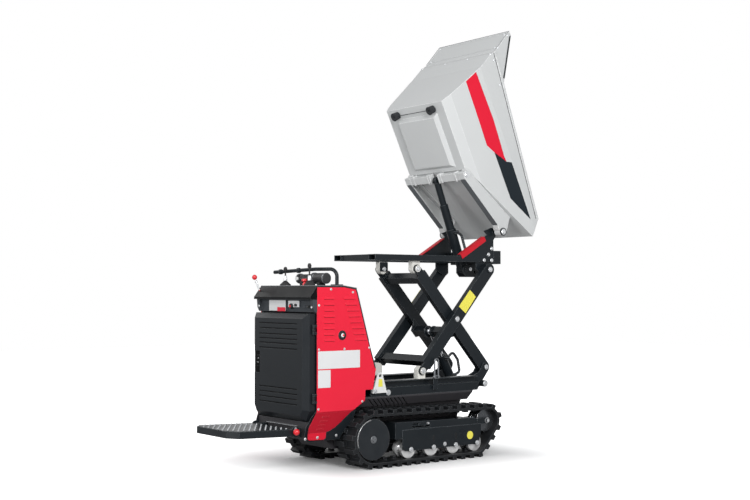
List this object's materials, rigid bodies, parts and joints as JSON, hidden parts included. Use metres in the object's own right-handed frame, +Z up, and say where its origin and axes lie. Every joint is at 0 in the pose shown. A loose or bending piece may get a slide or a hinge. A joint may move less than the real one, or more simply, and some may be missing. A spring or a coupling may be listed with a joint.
{
  "type": "tracked high-tip site dumper",
  "caption": "Mini tracked dumper with a ride-on rear platform, scissor lift raised and its grey skip tipped forward over the front.",
  "frame": {"origin": "middle of the bounding box on the ground, on the machine's centre plane", "axes": "+X towards the tipping end, +Y to the left, +Z up, ground at z = 0"},
  "size_m": [2.3015, 0.72, 2.7736],
  "materials": {
    "red_paint": "gloss",
    "black_paint": "satin",
    "grey_paint": "satin",
    "light_paint": "satin",
    "track_rubber": "matte",
    "soft_rubber": "matte",
    "wheel_steel": "satin",
    "zinc_steel": "satin",
    "white_nylon": "matte",
    "rod_chrome": "polished",
    "engine_iron": "cast",
    "black_plastic": "matte"
  },
  "bodies": {
    "chassis": {"air_cleaner": "black_plastic", "ball_lever": "black_plastic", "bottom_rollers_left": "wheel_steel", "bottom_rollers_right": "wheel_steel", "chassis_rails": "black_paint", "console_plate": "black_paint", "control_levers": "black_paint", "door_hinges": "black_paint", "engine_block": "engine_iron", "final_drive_left": "black_paint", "final_drive_right": "black_paint", "handlebar": "black_paint", "housing_frame": "black_paint", "hull": "black_paint", "idler_left": "wheel_steel", "idler_right": "wheel_steel", "instrument_panel": "black_plastic", "lift_bracket": "black_paint", "lifting_ear_left": "light_paint", "lifting_ear_right": "light_paint", "pivot_brackets": "black_paint", "platform_brackets": "black_paint", "side_panel_left": "red_paint", "side_panel_right": "red_paint", "sprocket_left": "black_paint", "sprocket_right": "black_paint", "stay_pivot": "black_paint", "stop_button": "black_plastic", "track_frame_left": "black_paint", "track_frame_right": "black_paint", "track_left": "track_rubber", "track_right": "track_rubber"},
    "inner_arms": {"inner_arms": "black_paint"},
    "outer_arms": {"outer_arms": "black_paint"},
    "upper_frame": {"upper_frame": "black_paint", "tilt_bracket": "black_paint", "edge_guards": "red_paint"},
    "lower_sliders": {"lower_sliders": "white_nylon"},
    "upper_sliders": {"upper_sliders": "white_nylon"},
    "lift_barrel": {"lift_barrel": "black_paint", "lift_hose": "soft_rubber"},
    "lift_rod": {"lift_rod": "rod_chrome"},
    "skip": {"skip_body": "grey_paint", "spill_guard": "grey_paint", "skip_subframe": "grey_paint", "skip_bumpers": "soft_rubber"},
    "tilt_barrel": {"tilt_barrel": "black_paint", "tilt_hose": "soft_rubber"},
    "tilt_stage": {"tilt_stage": "black_paint"},
    "tilt_plunger": {"tilt_plunger": "black_paint"},
    "platform": {"platform": "black_paint"},
    "engine_door": {"engine_door": "black_paint"},
    "rail_stay": {"rail_stay": "zinc_steel"}
  },
  "joints": [
    {"name": "lift", "type": "hinge", "parent": "chassis", "child": "inner_arms", "pos_m": [0.7996, 0, 0.558], "axis": [0, 1, 0], "range_deg": [-41, 0]},
    {"name": "scissor_cross", "type": "hinge", "parent": "inner_arms", "child": "outer_arms", "pos_m": [0.51067, 0, 0.87889], "axis": [0, 1, 0], "range_deg": [0, 82]},
    {"name": "frame_pivot", "type": "hinge", "parent": "outer_arms", "child": "upper_frame", "pos_m": [0.7996, 0, 1.19978], "axis": [0, 1, 0], "range_deg": [-41, 0]},
    {"name": "lower_slider_pivot", "type": "hinge", "parent": "outer_arms", "child": "lower_sliders", "pos_m": [0.22174, 0, 0.558], "axis": [0, 1, 0], "range_deg": [-41, 0]},
    {"name": "upper_slider_pivot", "type": "hinge", "parent": "inner_arms", "child": "upper_sliders", "pos_m": [0.22174, 0, 1.19978], "axis": [0, 1, 0], "range_deg": [0, 41]},
    {"name": "lift_cylinder_pivot", "type": "hinge", "parent": "chassis", "child": "lift_barrel", "pos_m": [0.6946, 0, 0.445], "axis": [0, 1, 0], "range_deg": [-42, 0]},
    {"name": "lift_cylinder_stroke", "type": "slide", "parent": "lift_barrel", "child": "lift_rod", "axis": [-0.4784, 0, 0.8781], "range_m": [-0.1085, 0]},
    {"name": "skip_tip", "type": "hinge", "parent": "upper_frame", "child": "skip", "pos_m": [0.8746, 0, 1.44897], "axis": [0, 1, 0], "range_deg": [-64.4, 0]},
    {"name": "tilt_cylinder_pivot", "type": "hinge", "parent": "upper_frame", "child": "tilt_barrel", "pos_m": [0.7846, 0, 1.19998], "axis": [0, 1, 0], "range_deg": [-52, 0]},
    {"name": "tilt_stage_stroke", "type": "slide", "parent": "tilt_barrel", "child": "tilt_stage", "axis": [-0.3613, 0, 0.9325], "range_m": [-0.131, 0]},
    {"name": "tilt_plunger_stroke", "type": "slide", "parent": "tilt_stage", "child": "tilt_plunger", "axis": [-0.3613, 0, 0.9325], "range_m": [-0.131, 0]},
    {"name": "platform_fold", "type": "hinge", "parent": "chassis", "child": "platform", "pos_m": [-0.7154, 0, 0.244], "axis": [0, -1, 0], "range_deg": [-85, 0]},
    {"name": "door_swing", "type": "hinge", "parent": "chassis", "child": "engine_door", "pos_m": [-0.6474, -0.297, 0.616], "axis": [0, 0, 1], "range_deg": [0, 100]},
    {"name": "stay_fold", "type": "hinge", "parent": "chassis", "child": "rail_stay", "pos_m": [0.3186, -0.269, 0.518], "axis": [0, 1, 0], "range_deg": [0, 88]}
  ],
  "couplings": [
    {"joint": "scissor_cross", "follows": "lift", "ratio": -2},
    {"joint": "frame_pivot", "follows": "lift", "ratio": 1},
    {"joint": "lower_slider_pivot", "follows": "lift", "ratio": 1},
    {"joint": "upper_slider_pivot", "follows": "lift", "ratio": -1},
    {"joint": "lift_cylinder_pivot", "follows": "lift", "ratio": 1.018},
    {"joint": "lift_cylinder_stroke", "follows": "lift", "m_per_rad": 0.1509},
    {"joint": "tilt_cylinder_pivot", "follows": "skip_tip", "ratio": 0.8036},
    {"joint": "tilt_stage_stroke", "follows": "skip_tip", "m_per_rad": 0.1162},
    {"joint": "tilt_plunger_stroke", "follows": "skip_tip", "m_per_rad": 0.1162}
  ]
}
